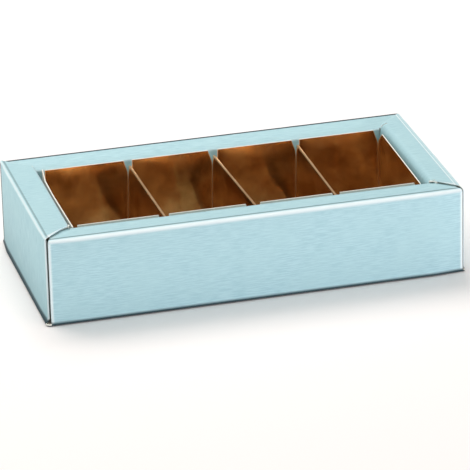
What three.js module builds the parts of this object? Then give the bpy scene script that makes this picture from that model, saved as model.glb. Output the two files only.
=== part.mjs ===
import * as THREE from 'three';

// A shallow praline tray. The frame is one sheet of pale blue card folded into four hollow
// walls round a window; a divided insert of gold card drops into the window.
// Millimetres, +Z up, +X along the length, the front is at -Y.

// Overall size of the frame, over its short sides.
const LENGTH = 150;
const WIDTH = 77;
const HEIGHT = 32;

// The two cards, and the clear strip kept at every crease and between cards that lie together.
const CARD = 0.4;
const GOLD_CARD = 0.4;
const CREASE = 0.3;

// Folds of the frame, as radii on the outer side of the card.
const BASE_FOLD = 1.5;
const RIM_FOLD = 1.3;
const WINDOW_FOLD = 1.2;
const FOLD_STEPS = 5;

// A rim runs from the outer wall to the window; short rims lie over the ends of long rims.
const LONG_RIM_WIDTH = 9.8;
const SHORT_RIM_WIDTH = 10.6;
const LAP_GAP = 0.2;
const SHORT_TOP = HEIGHT;
const LONG_TOP = HEIGHT - CARD - LAP_GAP;
const CORNER_SLIT = 0.5;
const MITRE_GAP = 0.2;
const LINING_END_GAP = 0.6;

// A long rim has a tongue at each end that goes under the short rim.
const TONGUE_START = 3;
const TONGUE_TIP = 2.1;
const TONGUE_SLANT = 1.2;
const TONGUE_LENGTH = 4.6;

// A short rim ends in a rounded nose that hooks over the window corner of the long rim.
const NOSE_LAP = 1.2;
const NOSE_LENGTH = 1.5;
const NOSE_ROUND = 0.7;
const NOSE_START = LONG_RIM_WIDTH - NOSE_LAP;
const NOSE_REACH = NOSE_START + NOSE_LENGTH;

// The insert: four compartments in a row, parted by folded dividers.
const COMPARTMENTS = 4;
const INSERT_END_PLAY = 1.2;
const INSERT_SIDE_PLAY = 0.4;
const INSERT_SHIFT = 0.9;
const FLOOR_BOTTOM = CARD + CREASE;
const FLOOR_TOP = FLOOR_BOTTOM + GOLD_CARD;

// Each divider is the card folded back on itself over a small rounded ridge.
const DIVIDER_SLOT = 0.3;
const DIVIDER = 2 * GOLD_CARD + DIVIDER_SLOT;
const RIDGE_DROP = 3.2;
const DIVIDER_TOP = HEIGHT - RIDGE_DROP;
const DIVIDER_END_GAP = 0.3;

// The soft dividers lean to the right, by these degrees at the front end and at the rear end.
const DIVIDER_LEANS = [
  { front: 2.8, rear: 1 },
  { front: 5.3, rear: 0.6 },
  { front: 0.4, rear: 0.4 },
];

const TWIST_STEPS = 8;

// Share of a divider's twist that a rear flap meets on its way down.
const FLAP_SWEEP = 0.3;

// Flaps stand on the long edges of the floor and lean inwards; the top right corner is cut off.
const FLAP_DROP = 1.3;
const FLAP_TOP = HEIGHT - FLAP_DROP;
const FLAP_LEAN = 3.8;
const FLAP_END_GAP = 0.35;
const CORNER_CUT_WIDE = 1.7;
const CORNER_CUT_TALL = 5;

// End flaps close the row. Each is a little twisted; degrees are positive towards the middle.
const LEFT_LEAN = { front: -2.3, rear: 1.5 };
const RIGHT_LEAN = { front: 3.3, rear: 1.6 };
const END_FLAP_SIDE_GAP = 0.7;

const BLUE = { color: 0xb8dde2, roughness: 0.42, metalness: 0.15 };
const GOLD = { color: 0xa8742f, roughness: 0.28, metalness: 0.85 };

const CREASE_Y = WIDTH / 2 - LONG_RIM_WIDTH - INSERT_SIDE_PLAY - GOLD_CARD;
const INSERT_HALF = LENGTH / 2 - SHORT_RIM_WIDTH - INSERT_END_PLAY - GOLD_CARD;
const PITCH = 2 * INSERT_HALF / COMPARTMENTS;

const part = new THREE.Group();
part.name = 'praline_tray';

function addPiece(name, geometry, look) {
  const mesh = new THREE.Mesh(geometry, new THREE.MeshStandardMaterial(look));
  mesh.name = name;
  part.add(mesh);
}

// Points on part of a circle, angles in degrees.
function arc(centreX, centreY, radius, from, to) {
  const points = [];
  for (let step = 0; step <= FOLD_STEPS; step += 1) {
    const angle = THREE.MathUtils.degToRad(from + (to - from) * step / FOLD_STEPS);
    points.push([centreX + radius * Math.cos(angle), centreY + radius * Math.sin(angle)]);
  }
  return points;
}

// A bent strip of card along X. The section is a closed outline of [depth, height] points;
// depth becomes Y, and the half length may change over the section to give slanted ends. Steps
// are the lengths that a strip to be twisted is divided into.
function bentStrip(section, halfLengthAt, steps = 1) {
  const outline = section.map(([depth, height]) => new THREE.Vector2(depth, height));
  if (THREE.ShapeUtils.isClockWise(outline)) {
    outline.reverse();
  }
  const count = outline.length;
  const positions = [];
  for (let step = 0; step <= steps; step += 1) {
    for (const point of outline) {
      positions.push((2 * step / steps - 1) * halfLengthAt(point.x, point.y), point.x, point.y);
    }
  }
  const index = [];
  const farEnd = steps * count;
  for (const [a, b, c] of THREE.ShapeUtils.triangulateShape(outline, [])) {
    index.push(a, c, b);
    index.push(a + farEnd, b + farEnd, c + farEnd);
  }
  for (let ring = 0; ring < farEnd; ring += count) {
    for (let i = 0; i < count; i += 1) {
      const here = ring + i;
      const next = ring + (i + 1) % count;
      index.push(here, next + count, here + count);
      index.push(here, next, next + count);
    }
  }
  const geometry = new THREE.BufferGeometry();
  geometry.setAttribute('position', new THREE.Float32BufferAttribute(positions, 3));
  geometry.setIndex(index);
  geometry.computeVertexNormals();
  return geometry;
}

// A flat piece of card cut to a closed outline in X and Y, lying on Z = bottom.
function flatCard(shape, thickness, bottom) {
  const geometry = new THREE.ExtrudeGeometry(shape, {
    depth: thickness,
    bevelEnabled: false,
    curveSegments: FOLD_STEPS,
  });
  geometry.translate(0, 0, bottom);
  return geometry;
}

function polygon(points) {
  return new THREE.Shape(points.map(([x, y]) => new THREE.Vector2(x, y)));
}

// Outer wall: the fold at the base, the wall itself and the fold into the rim.
function wallSection(top) {
  return [
    ...arc(BASE_FOLD, BASE_FOLD, BASE_FOLD, 270, 180),
    ...arc(RIM_FOLD, top - RIM_FOLD, RIM_FOLD, 180, 90),
    ...arc(RIM_FOLD, top - RIM_FOLD, RIM_FOLD - CARD, 90, 180),
    ...arc(BASE_FOLD, BASE_FOLD, BASE_FOLD - CARD, 180, 270),
  ];
}

// Lining: the fold from the rim into the window and the inner wall down to the base.
function liningSection(top, rimWidth) {
  const foot = CARD + CREASE;
  const foldDepth = rimWidth - WINDOW_FOLD;
  return [
    ...arc(foldDepth, top - WINDOW_FOLD, WINDOW_FOLD, 90, 0),
    [rimWidth, foot],
    [rimWidth - CARD, foot],
    ...arc(foldDepth, top - WINDOW_FOLD, WINDOW_FOLD - CARD, 0, 90),
  ];
}

// Depths at which the flat of a rim starts and ends, clear of its two folds.
const RIM_OUTER = RIM_FOLD + CREASE;
const LONG_RIM_INNER = LONG_RIM_WIDTH - WINDOW_FOLD - CREASE;
const SHORT_RIM_INNER = SHORT_RIM_WIDTH - WINDOW_FOLD - CREASE;

// Half of a long rim's outline, from the middle to its end: mitre, tongue and window tab.
function longRimHalf(half) {
  const liningEnd = half - SHORT_RIM_WIDTH - LINING_END_GAP + CREASE;
  const tongueEnd = TONGUE_START + TONGUE_SLANT + TONGUE_LENGTH / 2;
  const tabDepth = LONG_RIM_WIDTH - CREASE;
  return [
    [half - RIM_OUTER - MITRE_GAP, RIM_OUTER],
    [half - TONGUE_START - MITRE_GAP, TONGUE_START],
    [half - TONGUE_TIP, TONGUE_START + TONGUE_SLANT],
    [half - TONGUE_TIP - TONGUE_LENGTH / 2, tongueEnd],
    [half - NOSE_START, NOSE_START],
    [half - NOSE_START, tabDepth],
    [liningEnd, tabDepth],
    [liningEnd, LONG_RIM_INNER],
  ];
}

function longRim(half) {
  const right = longRimHalf(half);
  const left = right.map(([x, y]) => [-x, y]).reverse();
  return flatCard(polygon([...right, ...left]), CARD, LONG_TOP - CARD);
}

// A short rim: mitred at both ends, each mitre ending in the rounded nose.
function shortRim(half) {
  const noseSide = half - NOSE_START - MITRE_GAP;
  const liningEnd = half - LONG_RIM_WIDTH - LINING_END_GAP + CREASE;
  const outerEnd = half - RIM_OUTER - MITRE_GAP;
  const shape = new THREE.Shape();
  shape.moveTo(-outerEnd, RIM_OUTER);
  shape.lineTo(outerEnd, RIM_OUTER);
  shape.lineTo(noseSide, NOSE_START);
  shape.lineTo(noseSide, NOSE_REACH - NOSE_ROUND);
  shape.quadraticCurveTo(noseSide, NOSE_REACH, noseSide - NOSE_ROUND, NOSE_REACH);
  shape.lineTo(liningEnd, NOSE_REACH);
  shape.lineTo(liningEnd, SHORT_RIM_INNER);
  shape.lineTo(-liningEnd, SHORT_RIM_INNER);
  shape.lineTo(-liningEnd, NOSE_REACH);
  shape.lineTo(NOSE_ROUND - noseSide, NOSE_REACH);
  shape.quadraticCurveTo(-noseSide, NOSE_REACH, -noseSide, NOSE_REACH - NOSE_ROUND);
  shape.lineTo(-noseSide, NOSE_START);
  return flatCard(shape, CARD, SHORT_TOP - CARD);
}

// The four sides of the frame, each made as a front side and turned into place.
const longSide = {
  half: LENGTH / 2,
  reach: WIDTH / 2,
  top: LONG_TOP,
  rim: longRim,
  rimWidth: LONG_RIM_WIDTH,
  liningHalf: LENGTH / 2 - SHORT_RIM_WIDTH - LINING_END_GAP,
};
const shortSide = {
  half: WIDTH / 2,
  reach: LENGTH / 2,
  top: SHORT_TOP,
  rim: shortRim,
  rimWidth: SHORT_RIM_WIDTH,
  liningHalf: WIDTH / 2 - LONG_RIM_WIDTH - LINING_END_GAP,
};
const sides = [
  { name: 'front', turn: 0, ...longSide },
  { name: 'right', turn: 90, ...shortSide },
  { name: 'rear', turn: 180, ...longSide },
  { name: 'left', turn: 270, ...shortSide },
];

const baseX = LENGTH / 2 - BASE_FOLD - CREASE;
const baseY = WIDTH / 2 - BASE_FOLD - CREASE;
const baseOutline = [[-baseX, -baseY], [baseX, -baseY], [baseX, baseY], [-baseX, baseY]];
addPiece('base_panel', flatCard(polygon(baseOutline), CARD, 0), BLUE);

for (const side of sides) {
  const wall = bentStrip(wallSection(side.top), (depth) => side.half - depth - CORNER_SLIT);
  const rim = side.rim(side.half);
  const lining = bentStrip(liningSection(side.top, side.rimWidth), () => side.liningHalf);
  for (const geometry of [wall, rim, lining]) {
    geometry.translate(0, -side.reach, 0);
    geometry.rotateZ(THREE.MathUtils.degToRad(side.turn));
  }
  addPiece(`${side.name}_wall`, wall, BLUE);
  addPiece(`${side.name}_rim`, rim, BLUE);
  addPiece(`${side.name}_lining`, lining, BLUE);
}

// Floor of the insert: one panel per compartment, clear of the dividers and end creases.
function compartmentSpan(i) {
  const first = i === 0;
  const last = i === COMPARTMENTS - 1;
  const start = INSERT_SHIFT - INSERT_HALF + i * PITCH;
  const dividerSpace = DIVIDER / 2 + CREASE;
  return {
    left: start + (first ? CREASE : dividerSpace),
    right: start + PITCH - (last ? CREASE : dividerSpace),
    flapLeft: start + (first ? FLAP_END_GAP : dividerSpace),
    flapRight: start + PITCH - (last ? FLAP_END_GAP : dividerSpace),
  };
}

// A flap cut flat, stood upright on its crease with its gold face at Y = 0 towards +Y.
function uprightFlap(shape, lean) {
  const geometry = flatCard(shape, GOLD_CARD, 0);
  geometry.rotateX(Math.PI / 2);
  geometry.rotateX(THREE.MathUtils.degToRad(-lean));
  return geometry;
}

const flapRun = Math.tan(THREE.MathUtils.degToRad(FLAP_LEAN));
const flapHeight = (FLAP_TOP - FLOOR_TOP) / Math.cos(THREE.MathUtils.degToRad(FLAP_LEAN));

// Sideways run per rise, for a lean in degrees at the front end and at the rear end.
function runs(lean) {
  return {
    front: Math.tan(THREE.MathUtils.degToRad(lean.front)),
    rear: Math.tan(THREE.MathUtils.degToRad(lean.rear)),
  };
}

// What stands at the left and at the right of a compartment is an end flap or a divider.
function runAtLeft(i) {
  return runs(i === 0 ? LEFT_LEAN : DIVIDER_LEANS[(i - 1) % DIVIDER_LEANS.length]);
}

function runAtRight(i) {
  if (i < COMPARTMENTS - 1) {
    return runAtLeft(i + 1);
  }
  const inwards = runs(RIGHT_LEAN);
  return { front: -inwards.front, rear: -inwards.rear };
}

// Outline of a side flap: edges slanted clear of the leaning neighbours, one top corner cut off.
function flapOutline(span, leftRun, rightRun) {
  const cutStart = flapHeight - CORNER_CUT_TALL;
  return [
    [span.flapLeft, 0],
    [span.flapRight, 0],
    [span.flapRight + rightRun * cutStart, cutStart],
    [span.flapRight + rightRun * flapHeight - CORNER_CUT_WIDE, flapHeight],
    [span.flapLeft + leftRun * flapHeight, flapHeight],
  ];
}

for (let i = 0; i < COMPARTMENTS; i += 1) {
  const span = compartmentSpan(i);
  const floorEdge = CREASE_Y - CREASE;
  const floorOutline = [
    [span.left, -floorEdge],
    [span.right, -floorEdge],
    [span.right, floorEdge],
    [span.left, floorEdge],
  ];
  addPiece(`floor_${i + 1}`, flatCard(polygon(floorOutline), GOLD_CARD, FLOOR_BOTTOM), GOLD);

  const left = runAtLeft(i);
  const right = runAtRight(i);
  const frontLeft = Math.max(left.front, left.rear);
  const frontRight = Math.min(right.front, right.rear);
  const front = uprightFlap(polygon(flapOutline(span, frontLeft, frontRight)), FLAP_LEAN);
  front.translate(0, -CREASE_Y, FLOOR_TOP);
  addPiece(`front_flap_${i + 1}`, front, GOLD);

  const rearLeft = Math.max(left.rear, left.rear + (left.front - left.rear) * FLAP_SWEEP);
  const turned = flapOutline(span, rearLeft, right.rear).map(([x, y]) => [-x, y]);
  const rear = uprightFlap(polygon(turned), FLAP_LEAN);
  rear.rotateZ(Math.PI);
  rear.translate(0, CREASE_Y, FLOOR_TOP);
  addPiece(`rear_flap_${i + 1}`, rear, GOLD);
}

// A divider's section: two leaves joined by the rounded ridge, open at the foot.
function dividerSection() {
  const ridge = DIVIDER_TOP - DIVIDER / 2;
  return [
    [DIVIDER / 2, FLOOR_BOTTOM],
    ...arc(0, ridge, DIVIDER / 2, 0, 180),
    [-DIVIDER / 2, FLOOR_BOTTOM],
    [-DIVIDER_SLOT / 2, FLOOR_BOTTOM],
    ...arc(0, ridge, DIVIDER_SLOT / 2, 180, 0),
    [DIVIDER_SLOT / 2, FLOOR_BOTTOM],
  ];
}

const dividerHalf = CREASE_Y - DIVIDER_END_GAP;

// Half length of a divider at a height: its ends are cut to the lean of the side flaps.
function dividerHalfAt(height) {
  return dividerHalf - flapRun * Math.max(0, height - FLOOR_TOP);
}

// Leans an upright strip along Y to the right about its foot, with a twist from front to rear.
function leanOver(geometry, run, foot, half) {
  const position = geometry.getAttribute('position');
  for (let v = 0; v < position.count; v += 1) {
    const rise = position.getZ(v) - foot;
    const way = (position.getY(v) + half) / (2 * half);
    position.setX(v, position.getX(v) + THREE.MathUtils.lerp(run.front, run.rear, way) * rise);
  }
  geometry.computeVertexNormals();
}

for (let i = 1; i < COMPARTMENTS; i += 1) {
  const divider = bentStrip(dividerSection(), (depth, height) => dividerHalfAt(height), TWIST_STEPS);
  divider.rotateZ(Math.PI / 2);
  leanOver(divider, runAtLeft(i), FLOOR_BOTTOM, dividerHalf);
  divider.translate(INSERT_SHIFT - INSERT_HALF + i * PITCH, 0, 0);
  addPiece(`divider_${i}`, divider, GOLD);
}

// The two end flaps, on the short edges of the floor, with the gold face towards the middle.
const endFlaps = [
  { name: 'left_end_flap', side: -1, run: runAtLeft(0) },
  { name: 'right_end_flap', side: 1, run: runAtRight(COMPARTMENTS - 1) },
];
const endFlapHalf = CREASE_Y - END_FLAP_SIDE_GAP;
const endFlapSection = [
  [0, FLOOR_TOP],
  [GOLD_CARD, FLOOR_TOP],
  [GOLD_CARD, FLAP_TOP],
  [0, FLAP_TOP],
];
for (const end of endFlaps) {
  const flap = bentStrip(endFlapSection, () => endFlapHalf, TWIST_STEPS);
  flap.rotateZ(-end.side * Math.PI / 2);
  leanOver(flap, end.run, FLOOR_TOP, endFlapHalf);
  flap.translate(INSERT_SHIFT + end.side * INSERT_HALF, 0, 0);
  addPiece(end.name, flap, GOLD);
}

export default part;
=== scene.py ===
import math

import bmesh
import bpy
from mathutils import Matrix, Vector


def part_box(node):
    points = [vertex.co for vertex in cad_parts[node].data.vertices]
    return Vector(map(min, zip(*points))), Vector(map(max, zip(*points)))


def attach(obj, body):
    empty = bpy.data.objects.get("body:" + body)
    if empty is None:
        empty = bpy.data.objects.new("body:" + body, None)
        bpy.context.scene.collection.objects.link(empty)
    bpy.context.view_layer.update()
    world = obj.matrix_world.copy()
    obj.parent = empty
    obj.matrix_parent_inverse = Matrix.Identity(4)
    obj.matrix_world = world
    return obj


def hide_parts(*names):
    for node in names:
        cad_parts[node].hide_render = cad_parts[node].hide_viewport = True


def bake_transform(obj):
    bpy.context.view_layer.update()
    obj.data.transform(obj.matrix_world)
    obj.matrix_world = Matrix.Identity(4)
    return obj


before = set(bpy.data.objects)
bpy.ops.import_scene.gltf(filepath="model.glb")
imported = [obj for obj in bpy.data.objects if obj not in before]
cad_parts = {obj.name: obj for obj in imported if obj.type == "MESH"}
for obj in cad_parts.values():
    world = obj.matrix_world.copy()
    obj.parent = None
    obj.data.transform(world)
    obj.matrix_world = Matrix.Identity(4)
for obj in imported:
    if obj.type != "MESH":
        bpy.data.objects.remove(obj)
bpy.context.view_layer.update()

# The frame is one blank of solid paperboard faced with pale blue silk-embossed paper. It is cut,
# creased and folded up from the base: outer wall, flat rim, then a lining down into the window.
# The short rims lie over the ends of the long ones at the mitres, and nothing is glued.

mm = 0.001
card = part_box("base_panel")[1].z
half_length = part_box("right_wall")[1].x
half_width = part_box("rear_wall")[1].y
long_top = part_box("front_rim")[1].z
short_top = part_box("right_rim")[1].z
lining_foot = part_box("right_lining")[0].z
base_fold = 0.5 * mm
base_bead = 1.1 * mm
wall_slit = 0.8 * mm
end_curl = 0.5 * mm
score_depth = 0.05 * mm
sag_power = 1.5
spring_start = 0.4
nose_round = 0.7 * mm
nose_fill = 0.96
nose_steps = 4
# Cut ends, curls and noses are painted pale: partly wear on the raw board, partly painted highlight.
edge_rub_and_highlight = 0.9
tip_share = 0.9
base_steps = 6
fold_steps = 8
window_steps = 6
corner_steps = 4
curl_angles = (30, 60, 90)
# Painted shade on the curl, from where it leaves the wall to its end: it darkens the slits.
curl_shade = (0, 0.1, 1)
curl_fade = 1.5
weld_distance = 0.002 * mm
sharp_angle = 40

# Where a side has rows of points. At the foot of the slit: rise, setback, curl and share of the bead.
# At the foot of the wall: rise, share of the bead, painted shade, and more painted shade for a side
# with a dark foot. On the wall: share of its height, painted shade for a dark foot. On the score:
# share of its width, depth, and whether it takes the score's painted shade and pale paint. The end
# columns are shares of the way to a side's free end.
slit_row = (0.3 * mm, 0.6 * mm, 0.5, 0.9)
foot_rows = ((0.7 * mm, 0.6, 0.5, 0.5), (1.1 * mm, 0.3, 0, 0.9), (1.8 * mm, 0, 0, 0.25))
wall_rows = ((0.25, 0.15), (0.5, 0.05), (0.75, 0))
score_rows = ((0.2, 0, 1), (0.5, score_depth, 1), (0.8, 0, 1), (1, 0, 0))
rim_rows = (3.0 * mm, 4.2 * mm, 5.4 * mm, 6.5 * mm, 7.6 * mm)
lining_rows = (0.25, 0.5, 0.75, 1)
end_columns = (0.19, 0.45, 0.72, 0.92, 1.0)


def new_sheet():
    """An empty sheet of card."""
    return {"points": [], "faces": [], "blank": [], "crease": [], "wear_and_highlight": []}


def add_point(sheet, point, blank, crease=0, wear_and_highlight=0):
    """Adds a point, its place on the blank, its painted shade and glint, and its wear and painted
    highlight.
    """
    sheet["points"].append(point)
    sheet["blank"].append(blank / mm)
    sheet["crease"].append(crease)
    sheet["wear_and_highlight"].append(wear_and_highlight)


def grid_faces(sheet, first, rows, columns):
    """Adds the faces of a grid of points that was added row by row from the first point on."""
    for r in range(rows - 1):
        for c in range(columns - 1):
            corner = first + r * columns + c
            above = corner + columns
            sheet["faces"].append([corner, above, above + 1, corner + 1])


def arc(centre, radius, first, last, steps):
    """Points on part of a circle, from the first to the last angle in degrees."""
    points = []
    for step in range(steps + 1):
        angle = math.radians(first + (last - first) * step / steps)
        points.append((centre[0] + radius * math.cos(angle), centre[1] + radius * math.sin(angle)))
    return points


def along_table(table, value):
    """The value of a table of (place, value) pairs at a place, straight between the pairs."""
    for (low, first), (high, second) in zip(table, table[1:]):
        if value <= high:
            return first + (second - first) * max(0, value - low) / (high - low)
    return table[-1][1]


def sagged(side, depth):
    """Height of a rim at a depth: the card gives a little towards the window."""
    share = (depth - side["rim_fold"]) / (side["rim_width"] - side["rim_fold"])
    return side["top"] - side["sag"] * max(0, share) ** sag_power


def sprung(side, end, depth, share):
    """How far the free end of a rim springs up: most at the tip, nothing along the folds."""
    tip = max(0, (share - spring_start) / (1 - spring_start))
    return side["spring"][end] * min(1, depth / side["nose_reach"]) * tip ** 2


def side_rows(side):
    """Rows across a side: place, painted shade, pale paint, and how far the end is set back and
    curled in.
    """
    top = side["top"]
    rim_fold, window_fold = side["rim_fold"], side["window_fold"]
    rows = []

    def add(depth, height, crease=0, wear_and_highlight=0, setback=None, curl=0, bead=0, bow=0):
        rows.append({
            "depth": depth, "height": height, "crease": crease, "wear_and_highlight": wear_and_highlight, "setback": setback,
            "curl": curl, "bead": bead * base_bead, "bow": bow * side["bow"],
        })

    # The foot fold and the foot of each slit are painted fully dark: painted shade where the box
    # meets the table.
    base_arc = arc((base_fold, base_fold), base_fold, 270, 180, base_steps)
    for step, (depth, height) in enumerate(base_arc):
        add(depth, height, crease=1, setback=base_fold, bead=step / base_steps)
    rise, setback, curl, bead = slit_row
    add(0, base_fold + rise, crease=1, setback=setback, curl=curl, bead=bead)
    # Painted shade fades up from the foot of the wall; a side with a dark foot gets more of it,
    # higher up.
    for rise, bead, shade, dark_foot in foot_rows:
        add(0, base_fold + rise, crease=shade + dark_foot * side["foot_shade"],
            setback=wall_slit, curl=1, bead=bead, bow=1 - bead)
    for share, dark_foot in wall_rows:
        height = base_fold + (top - rim_fold - base_fold) * share
        add(0, height, crease=dark_foot * side["foot_shade"], setback=wall_slit, curl=1, bow=1)
    # Along the top fold: painted shade growing towards the rim where a side's fold is shaded, and
    # pale paint at the middle of the fold, partly rubbed wear and partly painted highlight.
    rim_arc = arc((rim_fold, top - rim_fold), rim_fold, 180, 90, fold_steps)
    for step, (depth, height) in enumerate(rim_arc):
        turn = step / fold_steps
        add(depth, height, crease=side["fold_shade"] * turn,
            wear_and_highlight=side["fold_rub_and_highlight"] * math.sin(math.pi * turn),
            setback=along_table(side["mitre"], depth),
            curl=max(0, 1 - curl_fade * turn), bow=1 - turn)
    # The score line gets painted shade in its groove, and on some sides pale paint, partly wear and
    # partly painted highlight.
    for share, sink, mark in score_rows:
        depth = rim_fold + side["score_width"] * share
        add(depth, top - sink, crease=mark * side["score_shade"], wear_and_highlight=mark * side["score_rub_and_highlight"],
            setback=along_table(side["mitre"], depth))
    for depth in rim_rows:
        add(depth, sagged(side, depth), setback=along_table(side["mitre"], depth))
    edge = side["rim_width"] - window_fold
    low = sagged(side, edge)
    # The window fold gets painted shade that grows down the roll, and a painted highlight at its
    # middle.
    window_arc = arc((edge, low - window_fold), window_fold, 90, 0, window_steps)
    for step, (depth, height) in enumerate(window_arc):
        setback = along_table(side["mitre"], depth) if step == 0 else None
        add(depth, height, crease=side["window_shade"] * step / window_steps, setback=setback,
            wear_and_highlight=side["window_highlight"] * math.sin(math.pi * step / window_steps))
    for share in lining_rows:
        add(side["rim_width"], low - window_fold - (low - window_fold - lining_foot) * share)
    return rows


def folded_side(sheet, side):
    """Adds one side of the frame to the sheet: the folded strip, its curled ends and its noses."""
    turn = Matrix.Rotation(math.radians(side["turn"]), 3, "Z")
    rows = side_rows(side)
    inner = side["lining_half"]
    columns = side["columns"]
    index = {}

    def put(key, across, depth, height, spent, crease, wear_and_highlight):
        index[key] = len(sheet["points"])
        point = turn @ Vector((across, depth - side["reach"], height))
        blank = turn @ Vector((across, base_fold - side["reach"] - spent, 0))
        add_point(sheet, point, blank, crease, wear_and_highlight)

    def quad(a, b, c, d):
        if all(key in index for key in (a, b, c, d)):
            sheet["faces"].append([index[key] for key in (a, b, c, d)])

    spent = 0
    for r, row in enumerate(rows):
        depth, height = row["depth"], row["height"]
        marks = (row["crease"], row["wear_and_highlight"])
        before, after = rows[max(0, r - 1)], rows[min(r + 1, len(rows) - 1)]
        run = (after["depth"] - before["depth"], after["height"] - before["height"])
        along = Vector(run).normalized()
        spent += math.hypot(depth - before["depth"], height - before["height"])
        middle_out = row["bead"] + row["bow"]
        end_out = [row["bead"] * share for share in side["bead"]]
        for c in range(columns + 1):
            put((r, c), inner * (2 * c / columns - 1), depth - middle_out, height, spent, *marks)
        if row["setback"] is None:
            continue
        corner, corner_spent = r, spent
        curl = row["curl"] * end_curl
        end = side["half"] - row["setback"] - curl
        for e, share in enumerate(end_columns):
            across = inner + (end - inner) * share
            # Pale paint at the cut ends and the tips of the rims: wear on the raw edge and painted
            # highlight.
            cut = edge_rub_and_highlight if share == 1 and height > base_fold else 0
            if share > tip_share and depth > side["rim_fold"] and height > base_fold:
                cut = edge_rub_and_highlight
            end_rub_and_highlight = side["mitre_rub_and_highlight"] if depth > 0 else (1, 1)
            rub_and_highlight = [max(row["wear_and_highlight"], cut * end_rub_and_highlight[n]) for n in (0, 1)]
            rise = [sprung(side, n, depth, share) if height > side["top"] / 2 else 0 for n in (0, 1)]
            # The last columns of a wall get painted shade where a side's end is shaded dark.
            edge_dark = 1 if share > tip_share and depth == 0 else 0
            dark = [max(row["crease"], side["end_shade"][n] * edge_dark) for n in (0, 1)]
            out = [middle_out + (end_out[n] - middle_out) * share for n in (0, 1)]
            for n, c, way in ((1, columns + 1 + e, 1), (0, -1 - e, -1)):
                put((r, c), way * across, depth - out[n], height + rise[n], spent, dark[n], rub_and_highlight[n])
        if row["curl"] == 0 and row["height"] < side["top"] - side["rim_fold"] / 2:
            continue
        # Each curl turns in at the end of the wall, with painted shade in the slit and painted
        # highlight on the turn.
        for e, angle in enumerate(curl_angles):
            bend = math.radians(angle)
            across = end + curl * math.sin(bend)
            inwards = curl * (1 - math.cos(bend))
            dark = max(row["crease"], curl_shade[e] * row["curl"])
            sunk = depth + along.y * inwards
            place = (height - along.x * inwards, spent, dark, edge_rub_and_highlight * row["curl"])
            put((r, columns + 1 + len(end_columns) + e), across, sunk - end_out[1], *place)
            put((r, -1 - len(end_columns) - e), -across, sunk - end_out[0], *place)

    # The nose goes on from the last row that runs out to the corner.
    nose_depth = rows[corner]["depth"]
    reach_in = side["nose_reach"] - nose_depth
    nose_first = inner + (end - inner) * end_columns[0]
    for step in range(1, nose_steps + 1):
        share = step / nose_steps
        depth = nose_depth + reach_in * share
        nose_end = side["half"] - along_table(side["mitre"], depth)
        nose_end -= nose_round * (1 - math.sqrt(1 - nose_fill * share ** 3))
        for e, column in enumerate(end_columns):
            place = (column - end_columns[0]) / (1 - end_columns[0])
            across = nose_first + (nose_end - nose_first) * place
            height = sagged(side, depth)
            roll = side["window_fold"]
            fall = roll - math.sqrt(max(0, roll ** 2 - (depth - nose_depth) ** 2))
            rise = [sprung(side, n, depth, column) - side["droop"][n] * fall for n in (0, 1)]
            # The nose's outer edge and tip are painted pale: wear on the cut and painted highlight.
            pale_mark = edge_rub_and_highlight if column == 1 or step == nose_steps else 0
            marks = (corner_spent + reach_in * share, 0, pale_mark)
            put((("nose", step), columns + 1 + e), across, depth, height + rise[1], *marks)
            put((("nose", step), -1 - e), -across, depth, height + rise[0], *marks)

    first_column = -len(end_columns) - len(curl_angles)
    last_column = columns - first_column
    nose = [corner] + [("nose", step) for step in range(1, nose_steps + 1)]
    for c in range(first_column, last_column):
        for r in range(len(rows) - 1):
            quad((r, c), (r, c + 1), (r + 1, c + 1), (r + 1, c))
        if c < -1 or c > columns:
            for here, above in zip(nose, nose[1:]):
                quad((here, c), (here, c + 1), (above, c + 1), (above, c))
    foot = range(-len(end_columns), columns + len(end_columns) + 1)
    return [sheet["points"][index[(0, c)]] for c in foot]


def base_corner(sheet, turn, bead):
    """The rounded foot of a corner, where the slit between two walls ends above the base."""
    spin = Matrix.Rotation(math.radians(turn), 3, "Z")
    flip = turn % 180 == 90
    centre = Vector((half_width if flip else half_length, -(half_length if flip else half_width), 0))
    centre += Vector((-base_fold, base_fold, 0))
    first = len(sheet["points"])
    for step, (out, height) in enumerate(arc((0, base_fold), base_fold, 270, 360, base_steps)):
        spent = math.pi / 2 * base_fold * step / base_steps
        out += bead * base_bead * step / base_steps
        for way in range(corner_steps + 1):
            angle = math.pi / 2 * way / corner_steps
            heading = Vector((math.sin(angle), -math.cos(angle), 0))
            point = spin @ (centre + heading * out + Vector((0, 0, height)))
            # The whole foot of the corner gets painted shade.
            add_point(sheet, point, spin @ (centre + heading * spent), crease=1)
    for step in range(base_steps):
        for way in range(corner_steps):
            here = first + step * (corner_steps + 1) + way
            above = here + corner_steps + 1
            sheet["faces"].append([here, here + 1, above + 1, above])


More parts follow.
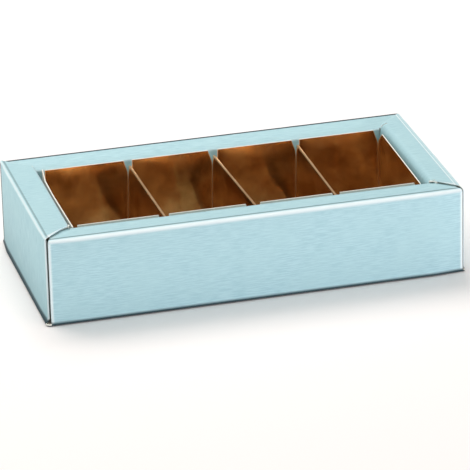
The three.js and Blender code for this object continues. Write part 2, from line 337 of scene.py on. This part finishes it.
def card_piece(name, sheet, thickness, finishes):
    """A piece of card from its finished face: welded, given its thickness, reverse and cut edges."""
    mesh = bpy.data.meshes.new(name)
    mesh.from_pydata(sheet["points"], [], sheet["faces"])
    blank = mesh.attributes.new("blank", "FLOAT_VECTOR", "POINT")
    blank.data.foreach_set("vector", [number for place in sheet["blank"] for number in place])
    for mark in ("crease", "wear_and_highlight"):
        values = mesh.attributes.new(mark, "FLOAT", "POINT")
        values.data.foreach_set("value", sheet[mark])
    welded = bmesh.new()
    welded.from_mesh(mesh)
    bmesh.ops.remove_doubles(welded, verts=welded.verts, dist=weld_distance)
    welded.to_mesh(mesh)
    welded.free()
    for finish in finishes:
        mesh.materials.append(finish)
    piece = bpy.data.objects.new(name, mesh)
    bpy.context.scene.collection.objects.link(piece)
    solid = piece.modifiers.new("thickness", "SOLIDIFY")
    solid.thickness = thickness
    solid.offset = -1
    solid.use_even_offset = True
    solid.material_offset = 1
    solid.material_offset_rim = 2
    ready = bpy.context.evaluated_depsgraph_get()
    piece.data = bpy.data.meshes.new_from_object(piece.evaluated_get(ready))
    piece.modifiers.clear()
    piece.data.name = name
    piece.data.shade_smooth()
    piece.data.set_sharp_from_angle(angle=math.radians(sharp_angle))
    return piece


def linear(code):
    """An sRGB hex colour as linear red, green, blue and alpha."""
    parts = [int(code[i:i + 2], 16) / 255 for i in (1, 3, 5)]
    return [p / 12.92 if p <= 0.04045 else ((p + 0.055) / 1.055) ** 2.4 for p in parts] + [1]


def add_node(tree, kind, inputs, **settings):
    """Adds a shader node; an input is a value, or the socket that feeds it."""
    node = tree.nodes.new(kind)
    for name, value in settings.items():
        setattr(node, name, value)
    for name, value in inputs.items():
        if isinstance(value, bpy.types.NodeSocket):
            tree.links.new(value, node.inputs[name])
        else:
            node.inputs[name].default_value = value
    return node


def new_material(name):
    """A material with an empty node tree."""
    material = bpy.data.materials.new(name)
    material.use_nodes = True
    material.node_tree.nodes.clear()
    return material


# Sockets of the colour mix node, which have no names of their own.
factor, colour_a, colour_b, mixed = 0, 6, 7, 2

# Silk-embossed pearl paper: fine raised threads along the blank catch the light as broken streaks
# on a soft sheen. Folds, cut ends and some scores are painted paler, partly rubbed wear and partly
# painted highlight. Painted shade darkens the scores, the foot, the slits and some folds and ends.
# The threads are drawn a little coarse, so that they show in the picture.
thread_width = 0.4
thread_length = 5
cloud_size = 16
rub_and_highlight_strength = 0.9
pale_blue = linear("#B9DBE3")
thread_blue = linear("#9EC6D1")
cloud_blue = linear("#B4D8DE")
# Pale blue for wear and painted highlight; dark blue for painted shade.
rub_and_highlight_blue = linear("#F2FBFD")
painted_shade_blue = linear("#2C434A")

silk_card = new_material("silk_embossed_pearl_card")
tree = silk_card.node_tree
place = add_node(tree, "ShaderNodeAttribute", {}, attribute_name="blank")
run = add_node(tree, "ShaderNodeMapping", {
    "Vector": place.outputs["Vector"],
    "Scale": (1 / thread_length, 1 / thread_width, 1),
})
threads = add_node(tree, "ShaderNodeTexNoise", {
    "Vector": run.outputs["Vector"], "Scale": 1, "Detail": 3, "Roughness": 0.6,
})
clouds = add_node(tree, "ShaderNodeTexNoise", {
    "Vector": place.outputs["Vector"], "Scale": 1 / cloud_size, "Detail": 2,
})
streak = add_node(tree, "ShaderNodeMapRange", {
    "Value": threads.outputs[0], "From Min": 0.42, "From Max": 0.58,
})
base = add_node(tree, "ShaderNodeMix", {
    factor: streak.outputs[0], colour_a: thread_blue, colour_b: pale_blue,
}, data_type="RGBA")
tone = add_node(tree, "ShaderNodeMix", {
    factor: clouds.outputs[0], colour_a: base.outputs[mixed], colour_b: cloud_blue,
}, data_type="RGBA")
# Wear and painted highlight: where a point's pale mark is set, the card goes towards the pale blue.
wear_and_highlight = add_node(tree, "ShaderNodeAttribute", {}, attribute_name="wear_and_highlight")
rub_and_highlight = add_node(tree, "ShaderNodeMath", {
    0: wear_and_highlight.outputs["Fac"], 1: rub_and_highlight_strength,
}, operation="MULTIPLY")
folded = add_node(tree, "ShaderNodeMix", {
    factor: rub_and_highlight.outputs[0], colour_a: tone.outputs[mixed], colour_b: rub_and_highlight_blue,
}, data_type="RGBA")
# Painted shade: where a point's shade mark is set, the card goes towards the dark blue.
crease = add_node(tree, "ShaderNodeAttribute", {}, attribute_name="crease")
painted_shade_mix = add_node(tree, "ShaderNodeMix", {
    factor: crease.outputs["Fac"], colour_a: folded.outputs[mixed], colour_b: painted_shade_blue,
}, data_type="RGBA")
gloss = add_node(tree, "ShaderNodeMapRange", {
    "Value": threads.outputs[0], "From Min": 0.3, "From Max": 0.7, "To Min": 0.58, "To Max": 0.46,
})
relief = add_node(tree, "ShaderNodeBump", {
    "Height": threads.outputs[0], "Strength": 0.35, "Distance": 0.04 * mm,
})
finish = add_node(tree, "ShaderNodeBsdfPrincipled", {
    "Base Color": painted_shade_mix.outputs[mixed], "Roughness": gloss.outputs[0], "Normal": relief.outputs[0],
    "Metallic": 0.05, "IOR": 1.5, "Specular IOR Level": 0.25,
})
add_node(tree, "ShaderNodeOutputMaterial", {"Surface": finish.outputs[0]})

# Uncoated white paperboard, pressed in the mill: a dull face with faint fibre clouds.
fibre_size = 0.7
board_white = linear("#F4F2EA")
board_grey = linear("#E8E5DB")

white_board = new_material("uncoated_white_paperboard")
tree = white_board.node_tree
place = add_node(tree, "ShaderNodeAttribute", {}, attribute_name="blank")
fibres = add_node(tree, "ShaderNodeTexNoise", {
    "Vector": place.outputs["Vector"], "Scale": 1 / fibre_size, "Detail": 4,
})
tone = add_node(tree, "ShaderNodeMix", {
    factor: fibres.outputs[0], colour_a: board_white, colour_b: board_grey,
}, data_type="RGBA")
relief = add_node(tree, "ShaderNodeBump", {
    "Height": fibres.outputs[0], "Strength": 0.2, "Distance": 0.03 * mm,
})
finish = add_node(tree, "ShaderNodeBsdfPrincipled", {
    "Base Color": tone.outputs[mixed], "Roughness": 0.85, "Normal": relief.outputs[0], "IOR": 1.5,
})
add_node(tree, "ShaderNodeOutputMaterial", {"Surface": finish.outputs[0]})

# The die-cut edge of the board: bare cream fibres, rough, a little darker where the knife pressed.
cut_grain = 0.35
cut_cream = linear("#FBFAF2")
cut_shade = linear("#F0EDE2")

cut_edge = new_material("die_cut_paperboard_edge")
tree = cut_edge.node_tree
place = add_node(tree, "ShaderNodeTexCoord", {})
fibres = add_node(tree, "ShaderNodeTexNoise", {
    "Vector": place.outputs["Object"], "Scale": 1 / (cut_grain * mm), "Detail": 3,
})
tone = add_node(tree, "ShaderNodeMix", {
    factor: fibres.outputs[0], colour_a: cut_cream, colour_b: cut_shade,
}, data_type="RGBA")
relief = add_node(tree, "ShaderNodeBump", {
    "Height": fibres.outputs[0], "Strength": 0.3, "Distance": 0.05 * mm,
})
finish = add_node(tree, "ShaderNodeBsdfPrincipled", {
    "Base Color": tone.outputs[mixed], "Roughness": 0.9, "Normal": relief.outputs[0], "IOR": 1.5,
})
add_node(tree, "ShaderNodeOutputMaterial", {"Surface": finish.outputs[0]})

# Where each row of a rim ends, measured back from the corner: plain mitres on the short sides,
# on the long sides a tongue that goes under the short rim.
lining_play = 0.05 * mm
short_mitre = [(0, wall_slit), (8.6 * mm, 8.8 * mm)]
long_mitre = [(0, wall_slit), (1.4 * mm, 1.5 * mm), (3.0 * mm, 2.3 * mm), (4.2 * mm, 2.1 * mm),
              (6.5 * mm, 4.4 * mm), (8.6 * mm, 7.9 * mm)]
long_side = {
    "half": half_length, "reach": half_width, "top": long_top, "mitre": long_mitre, "columns": 26,
    "lining_half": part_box("right_lining")[0].x - lining_play,
    "nose_reach": half_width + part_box("front_rim")[1].y,
    "rim_width": half_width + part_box("front_lining")[1].y,
}
short_side = {
    "half": half_width, "reach": half_length, "top": short_top, "mitre": short_mitre, "columns": 12,
    "lining_half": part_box("right_lining")[1].y,
    "nose_reach": half_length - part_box("right_rim")[0].x,
    "rim_width": half_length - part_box("right_lining")[0].x,
}

# Folded by hand, no two sides turned out alike: how round each fold is, how far the rim sags and the
# wall bows out, where folds, ends and the foot get painted shade, where they get pale paint that is
# partly wear and partly painted highlight, and how the two ends bead at the foot, spring up or droop.
# Pairs are for a side's left and right end, seen from outside.
front_fold = {
    "rim_fold": 1.3 * mm, "fold_rub_and_highlight": 1, "fold_shade": 0, "foot_shade": 0,
    "score_width": 1.0 * mm, "score_shade": 0.6, "score_rub_and_highlight": 0, "sag": 0.1 * mm,
    "window_fold": 0.9 * mm, "window_highlight": 0.3, "window_shade": 0,
    "bow": 0.7 * mm, "bead": (1, 0.1), "spring": (0, 0), "droop": (0, 0),
    "end_shade": (0, 0), "mitre_rub_and_highlight": (0.3, 0.3),
}
right_fold = {
    "rim_fold": 2.2 * mm, "fold_rub_and_highlight": 0.5, "fold_shade": 0, "foot_shade": 0,
    "score_width": 0.5 * mm, "score_shade": 0, "score_rub_and_highlight": 0.8, "sag": 0.1 * mm,
    "window_fold": 2.8 * mm, "window_highlight": 0, "window_shade": 0.15,
    "bow": 0.2 * mm, "bead": (0.1, 0.3), "spring": (0.35 * mm, 0), "droop": (0, 1),
    "end_shade": (0, 0), "mitre_rub_and_highlight": (1, 0.15),
}
rear_fold = {
    "rim_fold": 1.0 * mm, "fold_rub_and_highlight": 0, "fold_shade": 1, "foot_shade": 0,
    "score_width": 1.0 * mm, "score_shade": 1, "score_rub_and_highlight": 0, "sag": 1.8 * mm,
    "window_fold": 0.8 * mm, "window_highlight": 0.3, "window_shade": 0,
    "bow": 0, "bead": (0.3, 0.2), "spring": (0, 0), "droop": (1, 1),
    "end_shade": (0, 0), "mitre_rub_and_highlight": (0.3, 0.3),
}
left_fold = {
    "rim_fold": 0.7 * mm, "fold_rub_and_highlight": 0.7, "fold_shade": 0, "foot_shade": 1,
    "score_width": 0.9 * mm, "score_shade": 0.4, "score_rub_and_highlight": 0, "sag": 0,
    "window_fold": 0.9 * mm, "window_highlight": 0.3, "window_shade": 0.5,
    "bow": 0.4 * mm, "bead": (0.2, 1), "spring": (0, 0.7 * mm), "droop": (0, 0),
    "end_shade": (1, 0), "mitre_rub_and_highlight": (0.15, 1),
}

frame_sheet = new_sheet()
long_foot = folded_side(frame_sheet, {**long_side, **front_fold, "turn": 0})
short_foot = folded_side(frame_sheet, {**short_side, **right_fold, "turn": 90})
folded_side(frame_sheet, {**long_side, **rear_fold, "turn": 180})
folded_side(frame_sheet, {**short_side, **left_fold, "turn": 270})
for turn, fold in ((0, front_fold), (90, right_fold), (180, rear_fold), (270, left_fold)):
    base_corner(frame_sheet, turn, fold["bead"][1])

first = len(frame_sheet["points"])
for across in short_foot:
    for along in long_foot:
        point = Vector((along.x, across.y, 0))
        add_point(frame_sheet, point, point)
grid_faces(frame_sheet, first, len(short_foot), len(long_foot))

folded_frame = card_piece("folded_frame", frame_sheet, card, [silk_card, white_board, cut_edge])
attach(folded_frame, "frame")
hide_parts("base_panel")
for side in ("front", "right", "rear", "left"):
    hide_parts(side + "_wall", side + "_rim", side + "_lining")

# The insert is one strip of gold-laminated card folded like an accordion: four floors in a row,
# with three hairpin folds that stand up between them as dividers. It drops into the window.

gold_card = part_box("floor_1")[1].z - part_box("floor_1")[0].z
floor_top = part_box("floor_1")[1].z
floor_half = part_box("floor_1")[1].y
ridge_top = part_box("divider_3")[1].z
divider_thickness = 1.1 * mm
foot_fold = 0.35 * mm
divider_leans = {"divider_1": (2.8, 1.0), "divider_2": (5.3, 0.6), "divider_3": (0.4, 0.4)}
flap_lean = 3.8
ridge_highlight = 0.5
foot_steps = 3
ridge_steps = 8
leaf_shares = (0.25, 0.5, 0.75)
floor_columns = 18

# Gold film laminated on the card and rolled smooth: a soft mirror over slow waves of the card, so
# that the box's inside shows as dim bronze patches. Fine specks are dust and pinholes in the film.
# A painted tan highlight lies along the ridges and a painted orange glint along the cut sides of the
# flaps; there the colour is flat and less metallic.
wave_across = 9
wave_up = 35
patch_size = 10
speck_spacing = 3.2
speck_share = 0.045
gold_bright = linear("#F2D4AA")
gold_deep = linear("#D8B285")
# A painted tan highlight for the ridges and a painted orange glint for the cut edges.
ridge_highlight_tan = linear("#BC8554")
cut_edge_glint_orange = linear("#F4AC58")
speck_pale = linear("#F3DFB4")

gold_film = new_material("rolled_gold_film_laminate")
tree = gold_film.node_tree
place = add_node(tree, "ShaderNodeAttribute", {}, attribute_name="blank")
run = add_node(tree, "ShaderNodeMapping", {
    "Vector": place.outputs["Vector"], "Scale": (1 / wave_across, 1 / wave_up, 1),
})
waves = add_node(tree, "ShaderNodeTexNoise", {
    "Vector": run.outputs["Vector"], "Scale": 1, "Detail": 1,
})
patches = add_node(tree, "ShaderNodeTexNoise", {
    "Vector": place.outputs["Vector"], "Scale": 1 / patch_size, "Detail": 3, "Roughness": 0.5,
})
spread = add_node(tree, "ShaderNodeMapRange", {
    "Value": patches.outputs[0], "From Min": 0.36, "From Max": 0.64,
})
tone = add_node(tree, "ShaderNodeMix", {
    factor: spread.outputs[0], colour_a: gold_deep, colour_b: gold_bright,
}, data_type="RGBA")
# Where a point's pale mark is set the film turns to flat colour: painted tan highlight on the ridges,
# painted orange glint on the cut edges.
wear_and_highlight = add_node(tree, "ShaderNodeAttribute", {}, attribute_name="wear_and_highlight")
crease = add_node(tree, "ShaderNodeAttribute", {}, attribute_name="crease")
highlight_and_glint = add_node(tree, "ShaderNodeMix", {
    factor: crease.outputs["Fac"], colour_a: ridge_highlight_tan, colour_b: cut_edge_glint_orange,
}, data_type="RGBA")
folded = add_node(tree, "ShaderNodeMix", {
    factor: wear_and_highlight.outputs["Fac"], colour_a: tone.outputs[mixed], colour_b: highlight_and_glint.outputs[mixed],
}, data_type="RGBA")
dust = add_node(tree, "ShaderNodeTexVoronoi", {
    "Vector": place.outputs["Vector"], "Scale": 1 / speck_spacing,
})
speck = add_node(tree, "ShaderNodeMath", {
    0: dust.outputs["Distance"], 1: speck_share,
}, operation="LESS_THAN")
dusted = add_node(tree, "ShaderNodeMix", {
    factor: speck.outputs[0], colour_a: folded.outputs[mixed], colour_b: speck_pale,
}, data_type="RGBA")
gloss = add_node(tree, "ShaderNodeMapRange", {
    "Value": patches.outputs[0], "From Min": 0.3, "From Max": 0.7, "To Min": 0.1, "To Max": 0.2,
})
film_left = add_node(tree, "ShaderNodeMapRange", {
    "Value": wear_and_highlight.outputs["Fac"], "To Min": 1, "To Max": 0,
})
swell = add_node(tree, "ShaderNodeBump", {
    "Height": waves.outputs[0], "Strength": 1, "Distance": 0.3 * mm,
})
relief = add_node(tree, "ShaderNodeBump", {
    "Height": patches.outputs[0], "Strength": 0.8, "Distance": 0.06 * mm, "Normal": swell.outputs[0],
})
finish = add_node(tree, "ShaderNodeBsdfPrincipled", {
    "Base Color": dusted.outputs[mixed], "Roughness": gloss.outputs[0], "Normal": relief.outputs[0],
    "Metallic": film_left.outputs[0],
})
add_node(tree, "ShaderNodeOutputMaterial", {"Surface": finish.outputs[0]})

# The strip's profile along the box: X, height, painted highlight, and the lean of its divider in
# degrees, front and rear.
profile = [(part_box("floor_1")[0].x, floor_top, 0, None)]
for name, lean in divider_leans.items():
    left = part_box(name)[0].x
    right = left + divider_thickness
    round_top = ridge_top - divider_thickness / 2
    foot = floor_top + foot_fold
    for x, z in arc((left - foot_fold, foot), foot_fold, 270, 360, foot_steps):
        profile.append((x, z, 0, lean))
    for share in leaf_shares:
        profile.append((left, foot + (round_top - foot) * share, 0, lean))
    ridge = (left + divider_thickness / 2, round_top)
    # The ridge gets a painted highlight, strongest at its top.
    for step, (x, z) in enumerate(arc(ridge, divider_thickness / 2, 180, 0, ridge_steps)):
        profile.append((x, z, ridge_highlight * math.sin(math.pi * step / ridge_steps), lean))
    for share in reversed(leaf_shares):
        profile.append((right, foot + (round_top - foot) * share, 0, lean))
    for x, z in arc((right + foot_fold, foot), foot_fold, 180, 270, foot_steps):
        profile.append((x, z, 0, lean))
profile.append((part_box("floor_4")[1].x, floor_top, 0, None))

insert_sheet = new_sheet()
spent = 0
last = profile[0]
for x, z, pale_mark, lean in profile:
    spent += math.hypot(x - last[0], z - last[1])
    last = (x, z)
    for c in range(floor_columns + 1):
        end = floor_half - (z - floor_top) * math.tan(math.radians(flap_lean))
        y = end * (2 * c / floor_columns - 1)
        shift = 0
        if lean:
            front, rear = (math.tan(math.radians(angle)) for angle in lean)
            shift = (front + (rear - front) * c / floor_columns) * (z - floor_top)
        add_point(insert_sheet, Vector((x + shift, y, z)), Vector((spent, y, 0)), wear_and_highlight=pale_mark)
grid_faces(insert_sheet, 0, len(profile), floor_columns + 1)

gold_finishes = [gold_film, white_board, cut_edge]
accordion_floor = card_piece("accordion_floor", insert_sheet, gold_card, gold_finishes)
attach(accordion_floor, "insert")
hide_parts("floor_1", "floor_2", "floor_3", "floor_4")
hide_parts("divider_1", "divider_2", "divider_3")

# Side flaps stand on the long edges of the floors, joined to them by a crease that works as a
# hinge. They are the same gold card, leaning inwards, with the top corner at the right cut off.

crease_round = 0.3 * mm
corner_cut = 5 * mm
flap_bow = 0.25 * mm
flap_rows = 14
crease_steps = 4
edge_play = 0.27 * mm
edge_band = 1 * mm
# The width of the painted glint along each cut side, as a share of the flap.
glint_margin = 0.015
flap_shares = [0, glint_margin] + [step / 10 for step in range(1, 10)] + [1 - glint_margin, 1]
side_leans = [(0, flap_lean), (1, flap_lean)]


def standing_flap(name, turn, foot_out, leans, edges, height):
    """A flap on its fold. Edges give its sides at a rise, leans its tilt along its length."""
    spin = Matrix.Rotation(math.radians(turn), 3, "Z")
    sheet = new_sheet()
    rows = arc((-crease_round, crease_round), crease_round, 270, 360, crease_steps)
    for step in range(1, flap_rows + 1):
        rows.append((0, crease_round + (height - crease_round) * step / flap_rows))
    for out, rise in rows:
        start, end = edges(rise)
        for share in flap_shares:
            bow = flap_bow * math.sin(math.pi * share) * math.sin(math.pi * rise / height)
            lean = rise * math.tan(math.radians(along_table(leans, share))) if out == 0 else 0
            across = start + (end - start) * share
            point = spin @ Vector((across, lean + bow - foot_out - out, floor_top + rise))
            blank = spin @ Vector((across, -foot_out - rise, 0))
            # The cut sides get a painted orange glint, and there the film is flat colour, not
            # metallic.
            highlight_and_glint = 1 if share in (0, 1) else 0
            add_point(sheet, point, blank, crease=highlight_and_glint, wear_and_highlight=highlight_and_glint)
    grid_faces(sheet, 0, len(rows), len(flap_shares))
    piece = card_piece(name + "_card", sheet, gold_card, gold_finishes)
    middle = sum(edges(0)) / 2
    start = spin @ Vector((middle, crease_round - foot_out, floor_top))
    end = spin @ Vector((middle, -foot_out, floor_top + crease_round))
    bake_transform(piece)
    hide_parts(name)


def width_at(node, low, high):
    """The least and greatest X of a CAD node's corners between two heights."""
    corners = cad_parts[node].data.vertices
    found = [corner.co.x for corner in corners if low <= corner.co.z <= high]
    return min(found) - edge_play, max(found) + edge_play


for side, turn in (("front", 0), ("rear", 180)):
    for number in (1, 2, 3, 4):
        name = side + "_flap_" + str(number)
        low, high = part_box(name)
        cut_z = high.z - corner_cut
        foot = width_at(name, low.z, low.z + edge_band)
        middle = width_at(name, cut_z - edge_band, cut_z + edge_band)
        top = width_at(name, high.z - edge_band / 2, high.z)
        height = high.z - floor_top

        def edges(rise):
            straight = [(0, foot[0]), (height, top[0])]
            cut = [(0, foot[1]), (height - corner_cut, middle[1]), (height, top[1])]
            left, right = along_table(straight, rise), along_table(cut, rise)
            return (left, right) if turn == 0 else (-right, -left)

        standing_flap(name, turn, floor_half + crease_round, side_leans, edges, height)

# End flaps close the row at the short edges of the floor. They are rectangles of the gold card;
# each leans by what its crease and the play in the window leave it, and is a little twisted.
# The right one has its upper rear corner cut off.

end_leans = {
    "left_end_flap": [(0, 0.8), (0.2, -1.8), (0.45, -2.3), (1, -1.6)],
    "right_end_flap": [(0, 3.3), (1, 1.6)],
}
end_creases = {
    "left_end_flap": (270, crease_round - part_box("floor_1")[0].x),
    "right_end_flap": (90, crease_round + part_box("floor_4")[1].x),
}
end_trims = {"left_end_flap": 0, "right_end_flap": 6 * mm}
for name, (turn, crease_x) in end_creases.items():
    low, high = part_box(name)
    height = high.z - floor_top
    trim = end_trims[name]

    def edges(rise):
        return low.y, high.y - along_table([(0, 0), (height - corner_cut, 0), (height, trim)], rise)

    standing_flap(name, turn, crease_x, end_leans[name], edges, height)

# The studio: a white paper sweep on the table, a large softbox overhead at the rear, and two low soft
# lights at the front right and the left. The room is dim at eye level and brighter overhead.

sweep_half = 3
sweep_corners = [(x * sweep_half, y * sweep_half, 0) for x, y in ((-1, -1), (1, -1), (1, 1), (-1, 1))]
sweep = bpy.data.meshes.new("paper_sweep")
sweep.from_pydata(sweep_corners, [], [(0, 1, 2, 3)])
paper_sweep = bpy.data.objects.new("paper_sweep", sweep)
bpy.context.scene.collection.objects.link(paper_sweep)

# Matt white paper: it scatters evenly, so that the box's shadow lies soft on it.
sweep_warm_white = linear("#FEFAF9")
sweep_white = new_material("matt_white_paper")
tree = sweep_white.node_tree
finish = add_node(tree, "ShaderNodeBsdfDiffuse", {"Color": sweep_warm_white})
add_node(tree, "ShaderNodeOutputMaterial", {"Surface": finish.outputs[0]})
sweep.materials.append(sweep_white)


def softbox(name, place, size, power, colour):
    """A rectangular soft light that faces the foot of the box."""
    lamp = bpy.data.lights.new(name, "AREA")
    lamp.shape = "RECTANGLE"
    lamp.size, lamp.size_y = size
    lamp.energy = power
    lamp.color = colour
    holder = bpy.data.objects.new(name, lamp)
    holder.location = place
    holder.rotation_euler = (-Vector(place)).to_track_quat("-Z", "Y").to_euler()
    bpy.context.scene.collection.objects.link(holder)


softbox("rear_soft", place=(-0.2, 0.64, 1.01), size=(1.1, 0.68), power=10.3, colour=(1, 0.96, 0.925))
softbox("front_soft", place=(0.75, -0.85, 0.095), size=(0.9, 0.17), power=7.2, colour=(0.97, 0.95, 1))
softbox("left_soft", place=(-1.4, -0.1, 0.2), size=(1.2, 0.3), power=3.4, colour=(0.72, 0.98, 1))

world = bpy.data.worlds.new("white_studio")
bpy.context.scene.world = world
world.use_nodes = True
tree = world.node_tree
tree.nodes.clear()
low_light, high_light = 0.21, 0.96
way = add_node(tree, "ShaderNodeTexCoord", {})
parts = add_node(tree, "ShaderNodeSeparateXYZ", {"Vector": way.outputs["Generated"]})
room_light = add_node(tree, "ShaderNodeMapRange", {
    "Value": parts.outputs["Z"], "From Min": 0.6, "From Max": 0.85,
    "To Min": low_light, "To Max": high_light,
})
sky = add_node(tree, "ShaderNodeBackground", {
    "Color": (1, 0.985, 0.96, 1), "Strength": room_light.outputs[0],
})
add_node(tree, "ShaderNodeOutputWorld", {"Surface": sky.outputs[0]})

# The camera stands left of the middle and above, far back with a long lens, as in the photograph.

azimuth, elevation, roll = (math.radians(angle) for angle in (-14.4169, 23.2799, -1.478))
distance = 1.3665343
shift_right, shift_up = 1.3087 * mm, 7.5096 * mm
focal_pixels = 3829
image_pixels = 470

back = Vector((
    math.sin(azimuth) * math.cos(elevation),
    -math.cos(azimuth) * math.cos(elevation),
    math.sin(elevation),
))
level_right = (-back).cross(Vector((0, 0, 1))).normalized()
level_up = level_right.cross(-back)
right = level_right * math.cos(roll) + level_up * math.sin(roll)
up = level_up * math.cos(roll) - level_right * math.sin(roll)
lens = bpy.data.cameras.new("long_lens")
lens.sensor_width = 36
lens.lens = focal_pixels / image_pixels * lens.sensor_width
camera = bpy.data.objects.new("camera", lens)
camera.matrix_world = Matrix((right, up, back)).transposed().to_4x4()
camera.location = back * distance + right * shift_right + up * shift_up
bpy.context.scene.collection.objects.link(camera)
bpy.context.scene.camera = camera
bpy.context.scene.view_settings.view_transform = "Standard"

bpy.context.view_layer.update()
